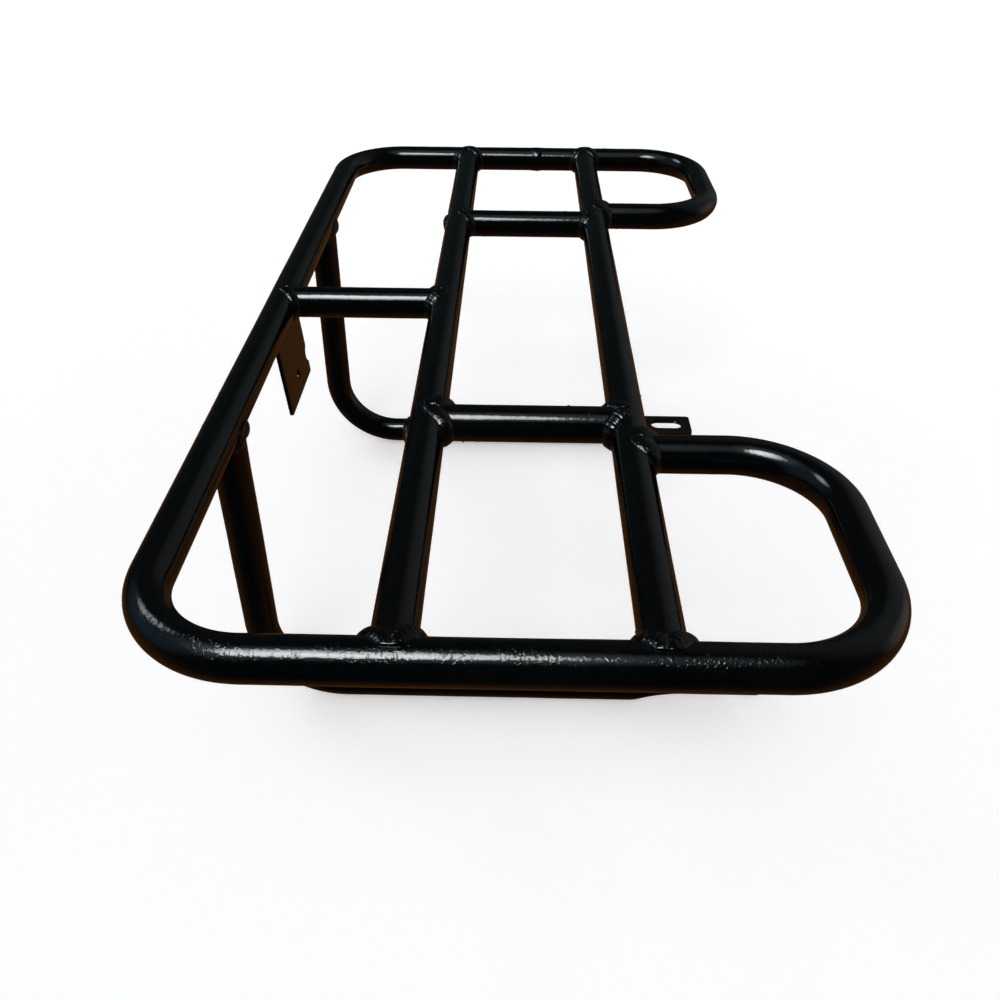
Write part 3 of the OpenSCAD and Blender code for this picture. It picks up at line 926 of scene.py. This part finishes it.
class RACK_OT_stage(bpy.types.Operator):
    """The floor, the lights and the camera"""
    bl_idname = "rack.stage"
    bl_label = "Stage"

    def execute(self, context):
        scene = context.scene
        stage = scene.rack_stage
        scene.view_settings.view_transform = "Standard"
        self.floor(stage)
        self.lights(scene, stage)
        self.room(scene)
        self.camera(scene)
        return {"FINISHED"}

    def floor(self, stage):
        """A wide floor of white paper, matt and pale, that curves up into a wall all round: a
        line turned about Z, flat to its outer part, then a quarter circle, then straight up.
        The gloss looks past it to the dim room."""
        curve, flat, rise = 1.5, 6.0, 7.0
        bend = np.linspace(0, math.pi / 2, 13)
        reach = np.concatenate([
            [0.02, flat / 2, flat], flat + curve * np.sin(bend[1:]), [flat + curve]])
        height = np.concatenate([[0, 0, 0], curve * (1 - np.cos(bend[1:])), [rise]]) - 0.2 * MM
        turn = np.linspace(0, 2 * math.pi, 96, endpoint=False)
        grid = np.stack([reach[:, None] * np.cos(turn), reach[:, None] * np.sin(turn),
                         height[:, None] + 0 * turn], -1)
        rows, columns, _ = grid.shape
        faces = grid_quads(rows, columns)[:, ::-1].tolist() + [list(range(columns))]
        mesh = bpy.data.meshes.new("floor")
        mesh.from_pydata(grid.reshape(-1, 3).tolist(), [], faces)
        mesh.shade_smooth()
        floor = bpy.data.objects.new("floor", mesh)
        bpy.context.scene.collection.objects.link(floor)
        floor.visible_glossy = False
        floor.visible_shadow = False
        paper = bpy.data.materials.new("White paper sweep")
        paper.use_nodes = True
        shader = paper.node_tree.nodes["Principled BSDF"]
        shader.inputs["Base Color"].default_value = stage.floor
        shader.inputs["Roughness"].default_value = 0.9
        shader.inputs["Specular IOR Level"].default_value = 0.0
        # a little warm, to balance the cool light of the room
        shader.inputs["Emission Color"].default_value = (1, 0.955, 0.945, 1)
        shader.inputs["Emission Strength"].default_value = stage.glow
        mesh.materials.append(paper)

    def lights(self, scene, stage):
        """Soft daylight for the floor, and a window for the gloss, brightest in its middle."""
        sun = bpy.data.lights.new("daylight", "SUN")
        sun.energy, sun.angle = stage.daylight, SUN_WIDTH
        daylight = bpy.data.objects.new("daylight", sun)
        daylight.rotation_euler = Vector(SUN_FROM).to_track_quat("Z", "Y").to_euler()
        daylight.visible_glossy = False
        scene.collection.objects.link(daylight)
        for share in (1.0, 0.82, 0.64):
            window_lamp(share, stage.window * (1.3 - share))

    def room(self, scene):
        """A dim room for the gloss: a table's warm brown below, darkest nearest the camera,
        and above it soft patches of light. Each light fades smoothly while the cosine of the
        angle to its direction goes between two values, and where it has two directions, both
        of its fades are multiplied."""
        world = bpy.data.worlds.new("dim room")
        scene.world = world
        world.use_nodes = True
        tree = world.node_tree
        tree.nodes.clear()
        way = add_node(tree, "ShaderNodeTexCoord").outputs["Generated"]
        table = ([(UP, 0.08, -0.25), (ALONG, 0.85, 0.1)], (0.105, 0.040, 0.008))
        air = ([(UP, -0.3, 0.2)], (0.008, 0.011, 0.012))
        lights = [table, air]
        for *angles, colour in ROOM_PATCHES:
            a, e, full, none = map(math.radians, angles)
            middle = (math.cos(e) * math.cos(a), math.cos(e) * math.sin(a), math.sin(e))
            lights.append(([(middle, math.cos(none), math.cos(full))], colour))
        total = None
        for fades, colour in lights:
            tint = None
            for middle, dark, bright in fades:
                near = add_node(tree, "ShaderNodeVectorMath", {1: way},
                                operation="DOT_PRODUCT", vector=middle)
                fade = add_node(tree, "ShaderNodeMapRange", {"Value": near.outputs["Value"]},
                                interpolation_type="SMOOTHSTEP", from_min=dark, from_max=bright)
                links = {"Scale": fade.outputs["Result"]} | ({0: tint} if tint else {})
                tint = add_node(tree, "ShaderNodeVectorMath", links, operation="SCALE",
                                vector=colour).outputs[0]
            links = {0: tint} | ({1: total} if total else {})
            total = add_node(tree, "ShaderNodeVectorMath", links, operation="ADD").outputs[0]
        sky = add_node(tree, "ShaderNodeBackground", {"Color": total},
                       strength=scene.rack_stage.room)
        add_node(tree, "ShaderNodeOutputWorld", {"Surface": sky.outputs["Background"]})

    def camera(self, scene):
        """A camera above the right end, looking down along the rack to its far end."""
        data = bpy.data.cameras.new("camera")
        data.lens, data.sensor_width = CAMERA_LENS, 36.0
        data.clip_start, data.clip_end = 0.01, 50.0
        camera = bpy.data.objects.new("camera", data)
        across = math.cos(CAMERA_ROLL) * CAMERA_RIGHT + math.sin(CAMERA_ROLL) * CAMERA_ABOVE
        upward = -math.sin(CAMERA_ROLL) * CAMERA_RIGHT + math.cos(CAMERA_ROLL) * CAMERA_ABOVE
        axes = np.stack([across, upward, -CAMERA_FORWARD], 1)
        camera.matrix_world = Matrix.LocRotScale(
            Vector(CAMERA_PLACE), Matrix(axes.tolist()).to_quaternion(), None)
        scene.collection.objects.link(camera)
        scene.camera = camera


# ---- panel and registration

class RACK_PT_panel(bpy.types.Panel):
    """Lists the sizes, the finish and the pieces"""
    bl_idname = "RACK_PT_panel"
    bl_label = "Luggage rack"
    bl_space_type = "VIEW_3D"
    bl_region_type = "UI"
    bl_category = "Rack"

    def draw(self, context):
        for group, _ in SETTINGS:
            settings = getattr(context.scene, group)
            column = self.layout.column(align=True)
            for key in settings.bl_rna.properties.keys():
                if key not in ("rna_type", "name"):
                    column.prop(settings, key)
        for operator in OPERATORS:
            self.layout.operator(operator.bl_idname)


SETTINGS = (
    ("rack_tubes", RackTubeSettings),
    ("rack_plate", RackPlateSettings),
    ("rack_welds", RackWeldSettings),
    ("rack_coat", RackCoatSettings),
    ("rack_stage", RackStageSettings),
)
OPERATORS = (
    RACK_OT_stage, RACK_OT_outer_rail, RACK_OT_straight_tubes, RACK_OT_legs, RACK_OT_plate,
    RACK_OT_joint_welds, RACK_OT_small_welds,
)


def register():
    for name, group in SETTINGS:
        bpy.utils.register_class(group)
        setattr(bpy.types.Scene, name, PointerProperty(type=group))
    for operator in OPERATORS:
        bpy.utils.register_class(operator)
    bpy.utils.register_class(RACK_PT_panel)


def unregister():
    bpy.utils.unregister_class(RACK_PT_panel)
    for operator in reversed(OPERATORS):
        bpy.utils.unregister_class(operator)
    for name, group in reversed(SETTINGS):
        delattr(bpy.types.Scene, name)
        bpy.utils.unregister_class(group)


def main():
    """Builds every piece in order."""
    register()
    for operator in OPERATORS:
        group, name = operator.bl_idname.split(".")
        getattr(getattr(bpy.ops, group), name)()
    bpy.context.view_layer.update()


if __name__ == "__main__":
    main()
